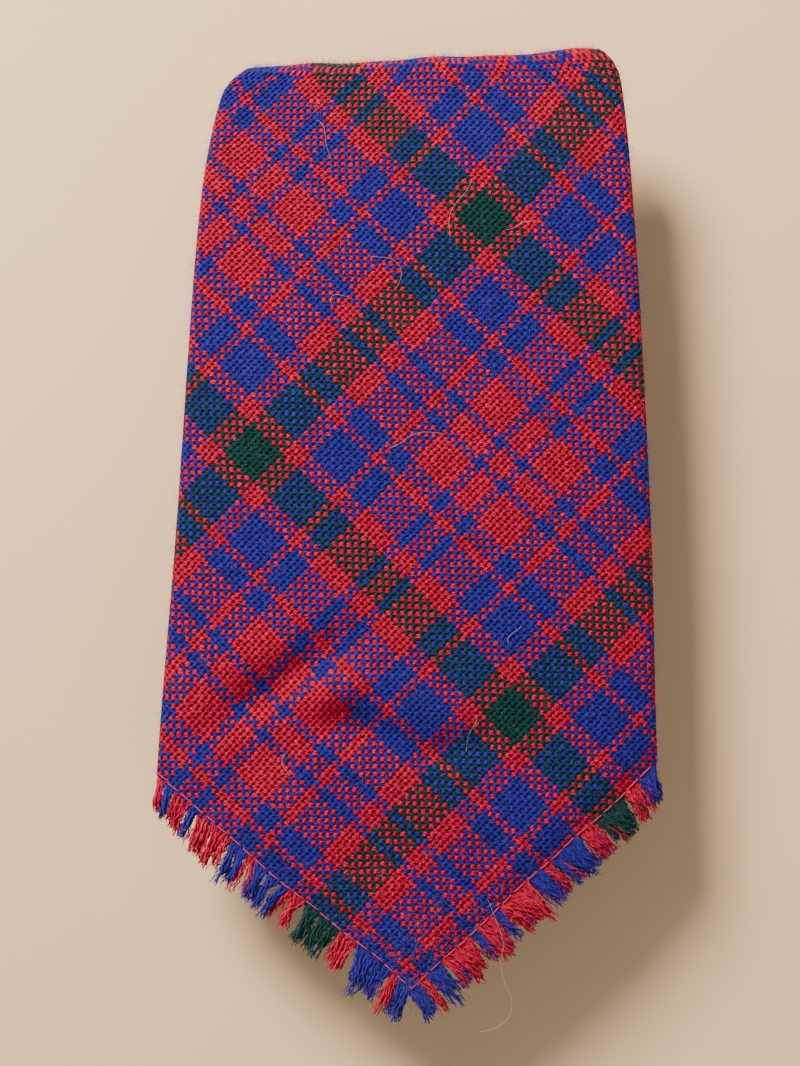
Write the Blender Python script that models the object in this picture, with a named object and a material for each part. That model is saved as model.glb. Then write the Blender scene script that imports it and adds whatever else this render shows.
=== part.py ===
"""A fringed wool necktie, cut on the bias and folded into a flat stack of eight layers.

Metres, +Z up. The blade lies face up on top of the stack, its point towards -Y, and the tail lies face down on the
table. The cloth runs to and fro along Y: it turns at a fold at the +Y end, then at one near the blade's point, and
so on down to the tail. Layer 0 is the blade's, at the top. Each fold is a hinge along X, and each layer between
two folds is a panel: a sleeve of shell cloth, sewn up along the middle of its back, with the interlining in it.
"""

import math

import bmesh
import bpy

MM = 0.001

# The cloth's outline.
BLADE_WIDTH = 101 * MM
BLADE_POINT = 45 * MM  # height of the blade's point, from its tip to its two corners
BLADE_TAPER = 0.096  # width lost for each length above the corners
NECK_WIDTH = 40 * MM
TAIL_WIDTH = 58 * MM
TAIL_POINT = 26 * MM
TAIL_TAPER = 0.05
FRINGE_LENGTH = 8 * MM

# The folded stack.
FOLDED_LENGTH = 191 * MM  # from the blade's stitched tip to the edge of the top fold
FAR_FOLD_STEPS = (0 * MM, 3 * MM, 1.5 * MM, 4 * MM)  # how far each +Y fold stays inside the blade's
TAIL_TIP_INSET = 12 * MM  # from the blade's tip to the tail's
HIDDEN_MARGIN = 4 * MM  # how far the blade's point reaches past each lower fold's corners
FOLD_PULL = 4.5 * MM  # the cloth draws in by this much on each side of a fold
HINGE_OUT = 0.85 * MM  # from the centre of a fold's bend out to its hinge axis

# The sleeve and what is in it.
SHELL_THICKNESS = 0.8 * MM
INTERLINING_THICKNESS = 0.9 * MM
CLEARANCE = 0.3 * MM
SIDE_WALL = 0.9 * MM
SIDE_ROLL = 1.2 * MM  # radius of the rolled side edges
SIDE_ROLL_STEPS = 2

# Thread, seams and fringe.
THREAD_WIDTH = 0.6 * MM
THREAD_HEIGHT = 0.5 * MM
SLOT_START = 6 * MM  # from a tip to where the back's two edges part
TACK_WIDTH = 8 * MM
TACK_HEIGHT = 1.4 * MM
TACK_ABOVE_CORNERS = 20 * MM
FRINGE_THICKNESS = 0.7 * MM
FRINGE_BASE = 1.3 * MM
TUFT_WIDTH = 3.1 * MM
TUFT_GAP = 0.8 * MM
TUFT_END = 0.6  # width of a tuft's end over that of its root
FRINGE_OVERHANG = 1.5 * MM  # how far the fringe stands out past the side edges
CUT_OVERRUN = 2 * MM  # how far a cutter passes the face it opens

SHELL_NAMES = (
    ("blade_shell_tip",),
    ("blade_shell_middle",),
    ("blade_shell_upper",),
    ("blade_shell_end", "neck_shell_start"),
    ("neck_shell_middle",),
    ("neck_shell_end", "tail_shell_start"),
    ("tail_shell_middle",),
    ("tail_shell_tip",),
)
JOIN_NAMES = {3: "join_seam_blade_to_neck", 5: "join_seam_neck_to_tail"}
LAYERS = len(SHELL_NAMES)
ARC_STEPS = 12

# What follows from the sizes above.
SLEEVE_HEIGHT = 2 * SHELL_THICKNESS + INTERLINING_THICKNESS + 2 * CLEARANCE
LAYER_STEP = SLEEVE_HEIGHT + CLEARANCE
FOLD_INNER_RADIUS = CLEARANCE / 2
FOLD_OUTER_RADIUS = FOLD_INNER_RADIUS + SLEEVE_HEIGHT
FOLD_ARC = math.pi * LAYER_STEP / 2  # length of the sleeve's middle round a fold
SLOT_WIDTH = THREAD_WIDTH + 2 * CLEARANCE
FRINGE_START = THREAD_WIDTH + 2 * CLEARANCE  # from the shell's cut edge, past the stay stitch


def clear_scene():
    for obj in list(bpy.data.objects):
        bpy.data.objects.remove(obj, do_unlink=True)


def make_material(name, colour, roughness):
    material = bpy.data.materials.new(name)
    material.use_nodes = True
    shader = material.node_tree.nodes["Principled BSDF"]
    shader.inputs["Base Color"].default_value = (*colour, 1)
    shader.inputs["Roughness"].default_value = roughness
    shader.inputs["Metallic"].default_value = 0
    return material


# ---- the cloth's layout -------------------------------------------------------------------------------------


def blade_width_at(length):
    """The blade's width at a length from its tip, above the point."""
    return max(NECK_WIDTH, BLADE_WIDTH - BLADE_TAPER * (length - BLADE_POINT))


def tie_width_at(length, total_length):
    tail_width = TAIL_WIDTH - TAIL_TAPER * (total_length - length - TAIL_POINT)
    return max(blade_width_at(length), tail_width)


def near_fold_edge(length):
    """Y of the edge of a fold that the blade's point hides, where length is the cloth's at the +Y fold before it."""
    edge = 0
    for _ in range(20):
        half_width = blade_width_at(length + FOLDED_LENGTH - edge) / 2 + HIDDEN_MARGIN
        edge = half_width * BLADE_POINT / (BLADE_WIDTH / 2)
    return edge


def lay_out_folds():
    """Each fold's side (+1 at the +Y end), bend centre and hinge axis, with Y counted from the blade's tip."""
    folds = []
    length = 0
    last_centre = 0
    for index in range(LAYERS - 1):
        side = 1 if index % 2 == 0 else -1
        if side > 0:
            edge = FOLDED_LENGTH - FAR_FOLD_STEPS[index // 2]
        else:
            edge = near_fold_edge(length)
        centre = edge - side * FOLD_OUTER_RADIUS
        length += abs(centre - last_centre)
        folds.append({"side": side, "centre": centre, "axis": centre + side * HINGE_OUT, "length": length})
        length += FOLD_ARC
        last_centre = centre
    return folds


def lay_out_panels(folds):
    """Each panel's two ends, the widths there, its height in the stack and the way its face looks."""
    total_length = folds[-1]["length"] + FOLD_ARC + folds[-1]["centre"] - TAIL_TIP_INSET
    panels = []
    for layer in range(LAYERS):
        ends = []
        if layer > 0:
            fold = folds[layer - 1]
            width = tie_width_at(fold["length"] + FOLD_ARC, total_length)
            ends.append((fold["centre"] - fold["side"] * CLEARANCE, width))
        if layer < LAYERS - 1:
            fold = folds[layer]
            width = tie_width_at(fold["length"], total_length)
            ends.append((fold["centre"] - fold["side"] * CLEARANCE, width))
        ends.sort()
        panel = {
            "layer": layer,
            "z": (LAYERS - 1 - layer) * LAYER_STEP,
            "face_up": layer % 2 == 0,
            "high": ends[-1],
            "low": ends[0],
            "point": None,
        }
        if layer == 0:
            panel["point"] = {"tip": 0, "height": BLADE_POINT, "width": BLADE_WIDTH}
        if layer == LAYERS - 1:
            panel["point"] = {"tip": TAIL_TIP_INSET, "height": TAIL_POINT, "width": TAIL_WIDTH}
        panels.append(panel)
    return panels


def panel_outline(panel, inset=0, overrun=0):
    """The panel seen from above, drawn in by inset at its sides and point, and lengthened by overrun at its folds."""
    high_y = panel["high"][0] + overrun
    high_x = panel["high"][1] / 2 - inset
    point = panel["point"]
    if point is None:
        low_y = panel["low"][0] - overrun
        low_x = panel["low"][1] / 2 - inset
        return [(-low_x, low_y), (low_x, low_y), (high_x, high_y), (-high_x, high_y)]
    slope = math.atan2(point["height"], point["width"] / 2)
    tip_y = point["tip"] + inset / math.cos(slope)
    corner_x = point["width"] / 2 - inset
    corner_y = tip_y + corner_x * math.tan(slope)
    return [
        (0, tip_y),
        (corner_x, corner_y),
        (high_x, high_y),
        (-high_x, high_y),
        (-corner_x, corner_y),
    ]


def join_outlines(panel):
    """A panel cut in two by a join at 45 degrees: the lower shell, the upper shell and the seam between them."""
    low_left, low_right, high_right, high_left = panel_outline(panel)
    middle_y = (panel["low"][0] + panel["high"][0]) / 2

    def on_join(corner_low, corner_high, offset):
        lean = (corner_high[0] - corner_low[0]) / (corner_high[1] - corner_low[1])
        y = (middle_y + offset + corner_low[0] - lean * corner_low[1]) / (1 - lean)
        return (y - middle_y - offset, y)

    def band(offset):
        return on_join(low_left, high_left, offset), on_join(low_right, high_right, offset)

    half_gap = (THREAD_WIDTH / 2 + CLEARANCE) * math.sqrt(2)
    half_seam = THREAD_WIDTH / 2 * math.sqrt(2)
    left, right = band(-half_gap)
    lower = [low_left, low_right, right, left]
    left, right = band(half_gap)
    upper = [left, right, high_right, high_left]
    left_low, right_low = band(-half_seam)
    left_high, right_high = band(half_seam)
    seam = [left_low, right_low, right_high, left_high]
    return lower, upper, seam


def edge_frame(point):
    """Along and out from the right edge of a point: unit vectors, and the edge's length."""
    slope = math.atan2(point["height"], point["width"] / 2)
    along = (math.cos(slope), math.sin(slope))
    out = (math.sin(slope), -math.cos(slope))
    return along, out, math.hypot(point["height"], point["width"] / 2)


def fringe_outline(point):
    """The fringe on the right edge of a point: a base along the edge, with a row of tufts."""
    along, out, edge_length = edge_frame(point)

    def place(run, stand):
        x = run * along[0] + stand * out[0]
        return (x, point["tip"] + run * along[1] + stand * out[1])

    pitch = TUFT_WIDTH + TUFT_GAP
    reach = point["width"] / 2 + FRINGE_OVERHANG
    last_run = (reach - FRINGE_LENGTH * out[0]) / along[0]
    count = int((last_run - CLEARANCE) / pitch)
    stretch = (last_run - CLEARANCE) / (count * pitch - TUFT_GAP)
    root = FRINGE_START + FRINGE_BASE
    narrowing = TUFT_WIDTH * stretch * (1 - TUFT_END) / 2
    outline = [place(CLEARANCE, FRINGE_START)]
    for index in range(count):
        start = CLEARANCE + index * pitch * stretch
        end = start + TUFT_WIDTH * stretch
        outline.append(place(start, root))
        outline.append(place(start + narrowing * (index > 0), FRINGE_LENGTH))
        outline.append(place(end - narrowing * (index < count - 1), FRINGE_LENGTH))
        outline.append(place(end, root))
    outline.append(place(edge_length - FRINGE_BASE, root))
    outline.append(place(edge_length - FRINGE_BASE, FRINGE_START))
    return outline


def stay_stitch_outline(point):
    """A thread along both edges of a point, just outside them."""
    slope = math.atan2(point["height"], point["width"] / 2)
    corner_x = point["width"] / 2
    outline = []
    for stand, direction in ((CLEARANCE, 1), (CLEARANCE + THREAD_WIDTH, -1)):
        tip_y = point["tip"] - stand / math.cos(slope)
        row = []
        for x in (-corner_x, 0, corner_x):
            row.append((x, tip_y + abs(x) * math.tan(slope)))
        outline += row[::direction]
    return outline


def mirrored(outline):
    return [(-x, y) for x, y in reversed(outline)]


# ---- solids -------------------------------------------------------------------------------------------------


def finish_mesh(name, mesh_builder, material, parent):
    bmesh.ops.recalc_face_normals(mesh_builder, faces=mesh_builder.faces[:])
    mesh = bpy.data.meshes.new(name)
    mesh_builder.to_mesh(mesh)
    mesh_builder.free()
    obj = bpy.data.objects.new(name, mesh)
    bpy.context.scene.collection.objects.link(obj)
    if material:
        mesh.materials.append(material)
    if parent:
        obj.parent = parent
        obj.matrix_parent_inverse = parent.matrix_world.inverted()
    return obj


def prism(name, outline, z_low, z_high, material=None, parent=None, rolled=()):
    """A solid with this outline, shifted so that the whole tie is centred. rolled lists the sides to round."""
    builder = bmesh.new()
    corners = [builder.verts.new((x, y + shift_y, z_low)) for x, y in outline]
    floor = builder.faces.new(corners)
    grown = bmesh.ops.extrude_face_region(builder, geom=[floor])
    top = [item for item in grown["geom"] if isinstance(item, bmesh.types.BMVert)]
    bmesh.ops.translate(builder, verts=top, vec=(0, 0, z_high - z_low))
    if rolled:
        wanted = [{outline[i], outline[(i + 1) % len(outline)]} for i in rolled]
        edges = []
        for edge in builder.edges:
            ends = [(vert.co.x, vert.co.y - shift_y) for vert in edge.verts]
            for pair in wanted:
                if all(min(math.dist(end, corner) for corner in pair) < CLEARANCE / 10 for end in ends):
                    if math.dist(*ends) > CLEARANCE:
                        edges.append(edge)
        bmesh.ops.bevel(
            builder,
            geom=edges,
            offset=SIDE_ROLL,
            segments=SIDE_ROLL_STEPS,
            profile=0.5,
            affect="EDGES",
            clamp_overlap=True,
        )
    return finish_mesh(name, builder, material, parent)


def cut(obj, outline, z_low, z_high):
    """Takes a prism out of an object."""
    cutter = prism(obj.name + "_cutter", outline, z_low, z_high)
    cutter.hide_render = True
    cutter.display_type = "WIRE"
    modifier = obj.modifiers.new("cut", "BOOLEAN")
    modifier.operation = "DIFFERENCE"
    modifier.solver = "EXACT"
    modifier.object = cutter


def rectangle(x_middle, width, y_low, y_high):
    return [
        (x_middle - width / 2, y_low),
        (x_middle + width / 2, y_low),
        (x_middle + width / 2, y_high),
        (x_middle - width / 2, y_high),
    ]


def depth_range(panel, from_back, to_back):
    """Heights in the stack, given as depths below the panel's back face."""
    if panel["face_up"]:
        return panel["z"] + from_back, panel["z"] + to_back
    return panel["z"] + SLEEVE_HEIGHT - to_back, panel["z"] + SLEEVE_HEIGHT - from_back


def seam_start(panel):
    """Y of the bar tack that ends the back seam, or of the panel's lower end where it has none."""
    if panel["point"] is None:
        return panel["low"][0]
    return panel["point"]["tip"] + panel["point"]["height"] + TACK_ABOVE_CORNERS


def hollow_out(obj, panel):
    """Opens the pocket for the interlining and the slot between the two turned-back edges."""
    low, high = depth_range(panel, SHELL_THICKNESS, SLEEVE_HEIGHT - SHELL_THICKNESS)
    cut(obj, panel_outline(panel, SIDE_WALL, CUT_OVERRUN), low, high)
    slot_low = panel["low"][0] - CUT_OVERRUN
    if panel["point"]:
        slot_low = panel["point"]["tip"] + SLOT_START
    low, high = depth_range(panel, -CUT_OVERRUN, SLEEVE_HEIGHT / 2)
    cut(obj, rectangle(0, SLOT_WIDTH, slot_low, panel["high"][0] + CUT_OVERRUN), low, high)
    if panel["point"]:
        half = TACK_HEIGHT / 2 + CLEARANCE
        middle = seam_start(panel)
        room = rectangle(0, TACK_WIDTH + 2 * CLEARANCE, middle - half, middle + half)
        cut(obj, room, low, high)


def make_panel(panel, parent, cloth, lining, thread):
    layer = panel["layer"]
    bottom, top = panel["z"], panel["z"] + SLEEVE_HEIGHT
    names = SHELL_NAMES[layer]
    sides = (1, 3)
    if len(names) == 1:
        outlines = [panel_outline(panel)]
    else:
        *outlines, seam = join_outlines(panel)
        join = prism(JOIN_NAMES[layer], seam, bottom, top, thread, parent)
        hollow_out(join, panel)
    for name, outline in zip(names, outlines):
        shell = prism(name, outline, bottom, top, cloth, parent, rolled=sides)
        hollow_out(shell, panel)
    low, high = depth_range(
        panel,
        SHELL_THICKNESS + CLEARANCE,
        SHELL_THICKNESS + CLEARANCE + INTERLINING_THICKNESS,
    )
    inner = panel_outline(panel, SIDE_WALL + CLEARANCE)
    prism(f"interlining_{layer + 1}", inner, low, high, lining, parent)
    inside = (SHELL_THICKNESS - THREAD_HEIGHT) / 2
    low, high = depth_range(panel, inside, inside + THREAD_HEIGHT)
    start = seam_start(panel)
    if panel["point"]:
        start += TACK_HEIGHT / 2 + 2 * CLEARANCE
    stitch = rectangle(0, THREAD_WIDTH, start, panel["high"][0])
    prism(f"back_seam_{layer + 1}", stitch, low, high, thread, parent)


def make_point_trim(panel, name, parent, cloth, thread):
    """What finishes a point: the fringe on both edges, the stay stitch at its base and the bar tack on the back."""
    point = panel["point"]
    face_depth = SLEEVE_HEIGHT - SHELL_THICKNESS / 2
    low, high = depth_range(panel, face_depth - FRINGE_THICKNESS / 2, face_depth + FRINGE_THICKNESS / 2)
    right = fringe_outline(point)
    prism(f"{name}_fringe_right", right, low, high, cloth, parent)
    prism(f"{name}_fringe_left", mirrored(right), low, high, cloth, parent)
    low, high = depth_range(panel, face_depth - THREAD_HEIGHT / 2, face_depth + THREAD_HEIGHT / 2)
    prism(f"{name}_stay_stitch", stay_stitch_outline(point), low, high, thread, parent)
    inside = (SHELL_THICKNESS - THREAD_HEIGHT) / 2
    low, high = depth_range(panel, inside, inside + THREAD_HEIGHT)
    middle = seam_start(panel)
    tack = rectangle(0, TACK_WIDTH, middle - TACK_HEIGHT / 2, middle + TACK_HEIGHT / 2)
    prism(f"{name}_bar_tack", tack, low, high, thread, parent)


def make_fold(index, fold, panels, material, parent):
    """The bend between two panels: half a ring as thick as a sleeve, along X."""
    upper = panels[index]
    z_middle = upper["z"] - CLEARANCE / 2
    widths = [panel["high" if fold["side"] > 0 else "low"][1] for panel in (upper, panels[index + 1])]
    half_width = min(widths) / 2 - FOLD_PULL
    builder = bmesh.new()
    rings = []
    for step in range(ARC_STEPS + 1):
        angle = math.pi * step / ARC_STEPS
        ring = []
        for x, radius in (
            (-half_width, FOLD_INNER_RADIUS),
            (half_width, FOLD_INNER_RADIUS),
            (half_width, FOLD_OUTER_RADIUS),
            (-half_width, FOLD_OUTER_RADIUS),
        ):
            y = fold["centre"] + shift_y + fold["side"] * radius * math.sin(angle)
            ring.append(builder.verts.new((x, y, z_middle + radius * math.cos(angle))))
        rings.append(ring)
    for ring, following in zip(rings, rings[1:]):
        for corner in range(4):
            after = (corner + 1) % 4
            builder.faces.new((ring[corner], ring[after], following[after], following[corner]))
    builder.faces.new(rings[0])
    builder.faces.new(rings[-1])
    return finish_mesh(f"fold_{index + 1}", builder, material, parent)


def make_hinge_empties(folds, panels):
    """An empty on each fold's axis. The panel above a fold hangs from it, and so does the next fold's empty."""
    empties = {}
    parent = None
    for index in reversed(range(LAYERS - 1)):
        fold = folds[index]
        empty = bpy.data.objects.new(f"hinge_{index + 1}", None)
        bpy.context.scene.collection.objects.link(empty)
        position = (0, fold["axis"] + shift_y, panels[index]["z"] - CLEARANCE / 2)
        if parent:
            empty.parent = parent
            empty.matrix_parent_inverse = parent.matrix_world.inverted()
        empty.location = position
        bpy.context.view_layer.update()
        empties[index] = empty
        parent = empty
    return empties


def main():
    clear_scene()
    cloth = make_material("tartan_wool", (0.30, 0.03, 0.09), 0.9)
    lining = make_material("interlining_wool", (0.72, 0.68, 0.58), 0.95)
    thread = make_material("red_thread", (0.50, 0.04, 0.06), 0.7)
    empties = make_hinge_empties(folds, panels)
    for panel in panels:
        make_panel(panel, empties.get(panel["layer"]), cloth, lining, thread)
    make_point_trim(panels[0], "blade", empties[0], cloth, thread)
    make_point_trim(panels[-1], "tail", None, cloth, thread)
    for index, fold in enumerate(folds):
        make_fold(index, fold, panels, cloth, empties.get(index + 1))


folds = lay_out_folds()
panels = lay_out_panels(folds)
# The origin is under the middle of the whole tie, fringe included.
shift_y = -(FOLDED_LENGTH + min(y for x, y in fringe_outline(panels[0]["point"]))) / 2
main()
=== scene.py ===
"""A hand-woven wool tartan necktie, folded in eight layers and lying flat, with its point at the front.

The cloth is one long strip with its sides turned to the back, built by mesh code along the tie's own path.
It is made in seven pieces, one for each fold, which meet in the middle of the panels. Lengths here are in
millimetres until a mesh is made.
"""

import math

import bpy
import numpy as np
from mathutils import Matrix, Vector


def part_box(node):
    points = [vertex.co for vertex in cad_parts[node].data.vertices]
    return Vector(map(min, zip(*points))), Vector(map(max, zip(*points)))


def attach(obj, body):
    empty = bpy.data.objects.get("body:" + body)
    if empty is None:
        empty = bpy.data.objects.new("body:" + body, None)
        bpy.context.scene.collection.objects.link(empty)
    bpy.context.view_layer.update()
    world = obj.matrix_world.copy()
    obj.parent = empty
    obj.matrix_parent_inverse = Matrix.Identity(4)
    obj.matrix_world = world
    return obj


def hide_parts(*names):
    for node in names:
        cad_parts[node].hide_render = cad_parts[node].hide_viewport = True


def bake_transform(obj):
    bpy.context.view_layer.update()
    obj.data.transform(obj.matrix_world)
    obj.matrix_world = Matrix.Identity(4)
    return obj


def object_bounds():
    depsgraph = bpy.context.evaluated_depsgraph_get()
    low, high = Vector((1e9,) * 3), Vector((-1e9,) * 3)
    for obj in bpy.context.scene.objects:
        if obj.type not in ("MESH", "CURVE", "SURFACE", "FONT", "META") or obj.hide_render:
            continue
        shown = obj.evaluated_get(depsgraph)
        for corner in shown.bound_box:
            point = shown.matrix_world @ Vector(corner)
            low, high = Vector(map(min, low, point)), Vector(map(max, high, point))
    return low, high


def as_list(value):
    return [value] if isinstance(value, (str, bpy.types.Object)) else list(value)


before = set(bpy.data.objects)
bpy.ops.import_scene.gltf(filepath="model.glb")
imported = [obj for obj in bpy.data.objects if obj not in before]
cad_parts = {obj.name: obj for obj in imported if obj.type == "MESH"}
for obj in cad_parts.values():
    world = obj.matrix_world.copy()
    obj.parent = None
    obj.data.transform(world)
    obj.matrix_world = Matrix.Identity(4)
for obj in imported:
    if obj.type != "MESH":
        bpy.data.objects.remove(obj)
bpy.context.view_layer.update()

MM = 0.001
random = np.random.default_rng(11)

# ---------------------------------------------------------------- the tie's parts

PANEL_SHELLS = {
    1: ("blade_shell_tip",),
    2: ("blade_shell_middle",),
    3: ("blade_shell_upper",),
    4: ("blade_shell_end", "neck_shell_start"),
    5: ("neck_shell_middle",),
    6: ("neck_shell_end", "tail_shell_start"),
    7: ("tail_shell_middle",),
    8: ("tail_shell_tip",),
}
JOIN_SEAMS = {4: "join_seam_blade_to_neck", 6: "join_seam_neck_to_tail"}
PANELS = len(PANEL_SHELLS)

# ---------------------------------------------------------------- the cloth, in millimetres

STATION_STEP = 2.0
FOLD_STEPS = 14
FRONT_POINTS = 72
BACK_POINTS = 20
ROLL_POINTS = 7
PINCHED_HALF = 0.3          # half the thickness where both layers are sewn together at a point
PINCH_REACH = 6.0           # how far from a point's edge the sleeve regains its thickness
LAP = 6.0                   # the under flap passes the middle of the back by this much
LAP_EDGE = 0.8              # the upper flap's folded edge, past the middle of the back
LAP_LIFT = 0.7              # the under flap lies this much inside the upper one
TURNING = 5.0               # the upper flap's hem, turned under
# The under flap's outline: x, and the share of its lift. The hem's: mm past the edge, and height.
UNDER_FLAP = ((LAP, 1.0), (LAP / 2, 1.0), (0.0, 1.0), (-1.2, 0.9), (-2.4, 0.4), (-4.0, 0.0))
HEM = ((0.18, 0.09), (0.2, 0.19), (0.1, 0.3), (-LAP_EDGE, 0.33), (-TURNING, 0.33))

# The sett, from the middle of a green band to the middle of a red one, where it turns back on itself.
SETT = ((4, "green"), (4, "red"), (8, "blue"), (2, "red"), (4, "blue"), (8, "red"), (2, "blue"), (2, "red"))
YARN_COLOURS = {
    "red": (0.70, 0.0002, 0.052),
    "blue": (0.026, 0.017, 0.36),
    "green": (0.0012, 0.060, 0.055),
}
THREAD_A = 0.989            # mm from one yarn to the next along each of the two directions
THREAD_B = 1.102
ANGLE_A = math.radians(44.1)
ANGLE_B = math.radians(45.7)
THREADS_AT_TIP = np.array((122.8, 89.2))

# ---------------------------------------------------------------- how the top panel lies

SIDE_SUPPORT = 3.0          # droop starts this far inside the panel below
SIDE_DROOP = 0.0075         # mm of droop for each square mm of reach
TIP_SUPPORT = -70.0         # y where the point begins to hang
TIP_DROOP = 0.0006
CROWN = 0.9                 # the middle stands this much higher than the sides
TOP_HALF_WIDTH = 43.0
TOP_SLANT = 0.052
TOP_SHIFT = -0.8
TOP_REACH = 38.0
CORNER_PULL = (5.2, 2.5)    # left, right
CORNER_REACH = 16.0
CORNER_ROUND = 2.4
CORNER_ROUND_REACH = 3.4
EAR = 0.6
EAR_X = 38.0
CORNER_SIDEWAYS = -1.2       # the whole width near the point's corners
LEFT_CORNER_LOWER = 3.2

# Creases in the top panel: x, distance above the tip, direction in degrees, length, width, height.
CREASES = (
    (-26.0, 62.0, 31.0, 16.0, 3.4, -2.6),
    (-27.0, 70.5, 30.0, 15.0, 4.5, 0.9),
    (-15.0, 60.0, 28.0, 9.0, 3.6, 1.9),
    (-8.0, 52.0, -20.0, 13.0, 3.0, -2.4),
    (-5.0, 59.5, -18.0, 11.0, 3.8, 0.9),
    (9.0, 48.5, 12.0, 9.0, 3.0, -1.4),
    (9.0, 56.0, 20.0, 10.0, 4.0, 0.4),
    (-33.0, 46.0, 40.0, 13.0, 5.0, -0.8),
    (24.0, 30.0, -42.0, 14.0, 5.0, 0.6),
    (14.0, 24.0, 60.0, 9.0, 4.0, -0.7),
)

# ---------------------------------------------------------------- fringe, thread and hairs

FRINGE_LENGTH = 7.0
FRINGE_ROOT = 1.0
FRINGE_LOWEST = -1.05       # from the sleeve's middle, so that it clears a panel opened out under it
CRIMP_TURNS = 22.0          # radians of fine crimp along a strand
STRAND_SPREAD = 0.005       # how far apart a yarn's strands leave the edge, as a share of it
STRANDS_PER_YARN = 10
FUZZ_PER_YARN = 6
STITCH_LENGTH = 2.6
STITCH_GAP = 0.8
STITCH_RADIUS = 0.11
STAY_INSET = 0.9
SEAM_STITCH_EVERY = 9.0
NAP_HAIRS = 9000
EDGE_HAIRS = 1500
LOOSE_HAIRS = 13
# The hair that curls out past the point, on its right: x, and y above the tip.
STRAY_CURL = (
    (15.5, 19.0), (17.0, 15.0), (18.6, 10.5), (17.6, 6.5), (18.4, 2.5), (20.2, -1.0), (19.4, -4.6),
    (16.4, -6.6), (13.6, -7.2),
)


def box_mm(node):
    low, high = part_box(node)
    return np.array(low) / MM, np.array(high) / MM


def smooth(share):
    share = np.clip(share, 0.0, 1.0)
    return share * share * (3.0 - 2.0 * share)


def mesh_points(node):
    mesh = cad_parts[node].data
    points = np.empty(len(mesh.vertices) * 3)
    mesh.vertices.foreach_get("co", points)
    return points.reshape(-1, 3) / MM


def half_width(nodes, ys):
    """Half the width of these shells at each y, where an edge of theirs is furthest from the middle."""
    widest = np.zeros(len(ys))
    for node in nodes:
        points = mesh_points(node)
        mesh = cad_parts[node].data
        edges = np.empty(len(mesh.edges) * 2, np.int32)
        mesh.edges.foreach_get("vertices", edges)
        start, end = points[edges.reshape(-1, 2)].transpose(1, 0, 2)
        run = end[:, 1] - start[:, 1]
        sloping = np.abs(run) > 0.01
        start, end, run = start[sloping], end[sloping], run[sloping]
        share = (np.asarray(ys)[:, None] - start[:, 1]) / run
        x = np.abs(start[:, 0] + share * (end[:, 0] - start[:, 0]))
        x[(share < -1e-4) | (share > 1.0001)] = 0.0
        widest = np.maximum(widest, x.max(axis=1))
    return widest


# ---------------------------------------------------------------- the tie's path

SHELL_LOW, SHELL_HIGH = box_mm("blade_shell_tip")
SLEEVE_HEIGHT = SHELL_HIGH[2] - SHELL_LOW[2]
HALF = SLEEVE_HEIGHT / 2.0
TIP_Y = SHELL_LOW[1]
TAIL_TIP_Y = box_mm("tail_shell_tip")[0][1]


def layer_middle(panel):
    low, high = box_mm(PANEL_SHELLS[panel][0])
    return (low[2] + high[2]) / 2.0


def fold_centre(fold):
    """(y, z) of the middle of the bend, and the radius of the sleeve's middle round it."""
    low, high = box_mm(f"fold_{fold}")
    outer = (high[2] - low[2]) / 2.0
    y = high[1] - outer if fold % 2 else low[1] + outer
    return y, (low[2] + high[2]) / 2.0, outer - HALF


def corner_of(nodes):
    """(half the width, y) of the corners where a point begins."""
    points = np.concatenate([mesh_points(node) for node in nodes])
    furthest = points[np.argmax(np.abs(points[:, 0]))]
    return abs(furthest[0]), furthest[1]


def panel_run(panel):
    """y where the panel starts and ends, going along the tie from the blade's tip to the tail's."""
    start = TIP_Y if panel == 1 else fold_centre(panel - 1)[0]
    end = TAIL_TIP_Y if panel == PANELS else fold_centre(panel)[0]
    return start, end


def tie_path():
    """Stations along the tie: distance, y, z, the face's direction (y, z), half the width, and the place,
    which is the panel's number, and between two numbers round a fold. Also the number of the station in the
    middle of each panel, and the tie's length."""
    rows = []
    middles = {}
    distance = 0.0
    for panel in range(1, PANELS + 1):
        start, end = panel_run(panel)
        steps = 2 * round(abs(end - start) / STATION_STEP / 2)
        middles[panel] = len(rows) + steps // 2
        ys = np.linspace(start, end, steps + 1)
        shells = [box_mm(node) for node in PANEL_SHELLS[panel]]
        lowest = min(low[1] for low, high in shells) + 0.01
        highest = max(high[1] for low, high in shells) - 0.01
        widths = half_width(PANEL_SHELLS[panel], np.clip(ys, lowest, highest))
        facing = 1.0 if panel % 2 else -1.0
        for y, width in zip(ys, widths):
            rows.append((distance + abs(y - start), y, layer_middle(panel), 0.0, facing, width, panel))
        distance += abs(end - start)
        if panel == PANELS:
            break
        y, z, radius = fold_centre(panel)
        outward = 1.0 if panel % 2 else -1.0
        for turn in np.linspace(0.0, math.pi, FOLD_STEPS + 1)[1:-1]:
            rows.append((
                distance + radius * turn,
                y + outward * radius * math.sin(turn),
                z + radius * math.cos(turn),
                math.sin(turn),
                outward * math.cos(turn),
                widths[-1],
                panel + turn / math.pi,
            ))
        distance += radius * math.pi
    return np.array(rows), middles, distance


PATH, MIDDLES, TIE_LENGTH = tie_path()


def weave_at(across, along):
    """Which yarns of each direction pass a point of the flat cloth: mm across from its middle, and along
    from the tip."""
    a = THREAD_A * np.array((-math.sin(ANGLE_A), -math.cos(ANGLE_A)))
    b = THREAD_B * np.array((math.sin(ANGLE_B), -math.cos(ANGLE_B)))
    turned = np.linalg.inv(np.column_stack((a, b)))
    threads = np.stack((across, along), axis=-1) @ turned.T
    return threads + THREADS_AT_TIP


# ---------------------------------------------------------------- how the top panel lies

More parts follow.
